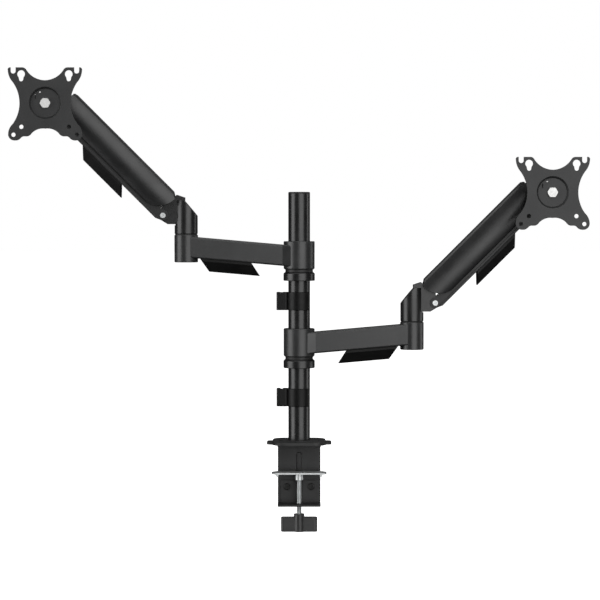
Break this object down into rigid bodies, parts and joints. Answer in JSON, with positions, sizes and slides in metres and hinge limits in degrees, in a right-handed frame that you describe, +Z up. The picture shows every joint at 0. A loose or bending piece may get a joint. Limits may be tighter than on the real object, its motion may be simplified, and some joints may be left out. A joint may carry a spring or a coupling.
{
  "type": "dual monitor arm",
  "caption": "Black desk-clamped pole with two spring-balanced monitor arms, each ending in a tilting, turning screen plate.",
  "frame": {"origin": "on the pole's axis, in the plane of the desk top that the base rests on", "axes": "+Z up the pole, +X along the desk towards the lower arm, -Y towards the person"},
  "size_m": [0.917, 0.112, 0.7446],
  "materials": {
    "powder_coat": "satin black powder coat with a very fine texture",
    "cast_coat": "satin black powder coat on die-cast aluminium",
    "black_plastic": "moulded matte black plastic",
    "zinc": "bright zinc-plated steel",
    "black_steel": "black oxide steel fasteners",
    "chrome_rod": "polished hard chrome",
    "foam_pad": "black foam rubber"
  },
  "bodies": {
    "base": {"base_plate": "powder_coat", "base_cover": "black_plastic", "base_pad": "foam_pad", "base_screws": "black_steel", "pole": "powder_coat", "pole_foot": "powder_coat", "pole_bolt": "black_steel", "pole_cap": "black_plastic", "upper_pole_clip": "black_plastic", "lower_pole_clip": "black_plastic", "clamp_bracket": "powder_coat", "clamp_jaw": "powder_coat", "jaw_screws": "black_steel"},
    "clamp_plate": {"pressure_plate": "zinc"},
    "clamp_spindle": {"clamp_screw": "zinc", "clamp_knob": "black_plastic"},
    "left_carrier": {"left_height_collar": "cast_coat", "left_collar_screw": "black_steel", "left_hub_bushing": "black_plastic"},
    "left_extension": {"left_extension_arm": "cast_coat", "left_beam_clip": "black_plastic", "left_elbow_bushing": "black_plastic"},
    "left_elbow": {"left_elbow_bracket": "cast_coat", "left_elbow_pins": "zinc", "left_elbow_bolt": "black_steel"},
    "left_link": {"left_arm_cover": "cast_coat", "left_spring_cylinder": "powder_coat"},
    "left_lower": {"left_lower_link": "powder_coat", "left_link_clip": "black_plastic"},
    "left_rod": {"left_spring_rod": "chrome_rod"},
    "left_head": {"left_head_bracket": "cast_coat", "left_head_pins": "black_steel"},
    "left_yoke": {"left_swivel_yoke": "powder_coat", "left_tilt_bolt": "black_steel"},
    "left_tilt": {"left_tilt_carrier": "powder_coat", "left_friction_washer": "black_plastic", "left_plate_bolt": "zinc"},
    "left_plate": {"left_screen_plate": "powder_coat"},
    "right_carrier": {"right_height_collar": "cast_coat", "right_collar_screw": "black_steel", "right_hub_bushing": "black_plastic"},
    "right_extension": {"right_extension_arm": "cast_coat", "right_beam_clip": "black_plastic", "right_elbow_bushing": "black_plastic"},
    "right_elbow": {"right_elbow_bracket": "cast_coat", "right_elbow_pins": "zinc", "right_elbow_bolt": "black_steel"},
    "right_link": {"right_arm_cover": "cast_coat", "right_spring_cylinder": "powder_coat"},
    "right_lower": {"right_lower_link": "powder_coat", "right_link_clip": "black_plastic"},
    "right_rod": {"right_spring_rod": "chrome_rod"},
    "right_head": {"right_head_bracket": "cast_coat", "right_head_pins": "black_steel"},
    "right_yoke": {"right_swivel_yoke": "powder_coat", "right_tilt_bolt": "black_steel"},
    "right_tilt": {"right_tilt_carrier": "powder_coat", "right_friction_washer": "black_plastic", "right_plate_bolt": "zinc"},
    "right_plate": {"right_screen_plate": "powder_coat"}
  },
  "joints": [
    {"name": "clamp_travel", "type": "slide", "parent": "base", "child": "clamp_plate", "axis": [0, 0, 1], "range_m": [-0.029, 0.0125]},
    {"name": "clamp_turn", "type": "hinge", "parent": "clamp_plate", "child": "clamp_spindle", "pos_m": [0, 0.006, -0.111], "axis": [0, 0, 1], "range_deg": [-8352, 3600]},
    {"name": "left_height", "type": "slide", "parent": "base", "child": "left_carrier", "axis": [0, 0, 1], "range_m": [-0.016, 0.07]},
    {"name": "left_shoulder", "type": "hinge", "parent": "left_carrier", "child": "left_extension", "pos_m": [0, 0, 0.3082], "axis": [0, 0, 1], "range_deg": [-90, 90]},
    {"name": "left_elbow_turn", "type": "hinge", "parent": "left_extension", "child": "left_elbow", "pos_m": [-0.182, 0, 0.34265], "axis": [0, 0, 1], "range_deg": [-120, 120]},
    {"name": "left_lift", "type": "hinge", "parent": "left_elbow", "child": "left_link", "pos_m": [-0.21, 0, 0.40265], "axis": [0, 1, 0], "range_deg": [-70, 0]},
    {"name": "left_lower_link_turn", "type": "hinge", "parent": "left_elbow", "child": "left_lower", "pos_m": [-0.2186, 0, 0.37245], "axis": [0, 1, 0], "range_deg": [-70, 0]},
    {"name": "left_head_level", "type": "hinge", "parent": "left_link", "child": "left_head", "pos_m": [-0.36203, 0, 0.55468], "axis": [0, 1, 0], "range_deg": [0, 70]},
    {"name": "left_spring_stroke", "type": "slide", "parent": "left_link", "child": "left_rod", "axis": [-0.7071, 0, 0.7071], "range_m": [0, 0.02839]},
    {"name": "left_swivel", "type": "hinge", "parent": "left_head", "child": "left_yoke", "pos_m": [-0.4, 0, 0.54905], "axis": [0, 0, -1], "range_deg": [-18, 90]},
    {"name": "left_tilt_turn", "type": "hinge", "parent": "left_yoke", "child": "left_tilt", "pos_m": [-0.4, -0.038, 0.54905], "axis": [1, 0, 0], "range_deg": [-30, 30]},
    {"name": "left_plate_turn", "type": "hinge", "parent": "left_tilt", "child": "left_plate", "pos_m": [-0.4, -0.066, 0.54905], "axis": [0, 1, 0], "range_deg": [-90, 90]},
    {"name": "right_height", "type": "slide", "parent": "base", "child": "right_carrier", "axis": [0, 0, 1], "range_m": [-0.03, 0.027]},
    {"name": "right_shoulder", "type": "hinge", "parent": "right_carrier", "child": "right_extension", "pos_m": [0, 0, 0.1676], "axis": [0, 0, 1], "range_deg": [-90, 90]},
    {"name": "right_elbow_turn", "type": "hinge", "parent": "right_extension", "child": "right_elbow", "pos_m": [0.182, 0, 0.20205], "axis": [0, 0, 1], "range_deg": [-120, 120]},
    {"name": "right_lift", "type": "hinge", "parent": "right_elbow", "child": "right_link", "pos_m": [0.21, 0, 0.26205], "axis": [0, -1, 0], "range_deg": [-70, 0]},
    {"name": "right_lower_link_turn", "type": "hinge", "parent": "right_elbow", "child": "right_lower", "pos_m": [0.2186, 0, 0.23185], "axis": [0, -1, 0], "range_deg": [-70, 0]},
    {"name": "right_head_level", "type": "hinge", "parent": "right_link", "child": "right_head", "pos_m": [0.36203, 0, 0.41408], "axis": [0, -1, 0], "range_deg": [0, 70]},
    {"name": "right_spring_stroke", "type": "slide", "parent": "right_link", "child": "right_rod", "axis": [0.7071, 0, 0.7071], "range_m": [0, 0.02839]},
    {"name": "right_swivel", "type": "hinge", "parent": "right_head", "child": "right_yoke", "pos_m": [0.4, 0, 0.40845], "axis": [0, 0, 1], "range_deg": [-18, 90]},
    {"name": "right_tilt_turn", "type": "hinge", "parent": "right_yoke", "child": "right_tilt", "pos_m": [0.4, -0.038, 0.40845], "axis": [1, 0, 0], "range_deg": [-30, 30]},
    {"name": "right_plate_turn", "type": "hinge", "parent": "right_tilt", "child": "right_plate", "pos_m": [0.4, -0.066, 0.40845], "axis": [0, 1, 0], "range_deg": [-90, 90]}
  ],
  "couplings": [
    {"joint": "clamp_turn", "follows": "clamp_travel", "rad_per_m": 5026.5},
    {"joint": "left_lower_link_turn", "follows": "left_lift", "ratio": 1},
    {"joint": "left_head_level", "follows": "left_lift", "ratio": -1},
    {"joint": "left_spring_stroke", "follows": "left_lift", "m_per_rad": -0.023071},
    {"joint": "right_lower_link_turn", "follows": "right_lift", "ratio": 1},
    {"joint": "right_head_level", "follows": "right_lift", "ratio": -1},
    {"joint": "right_spring_stroke", "follows": "right_lift", "m_per_rad": -0.023071}
  ]
}
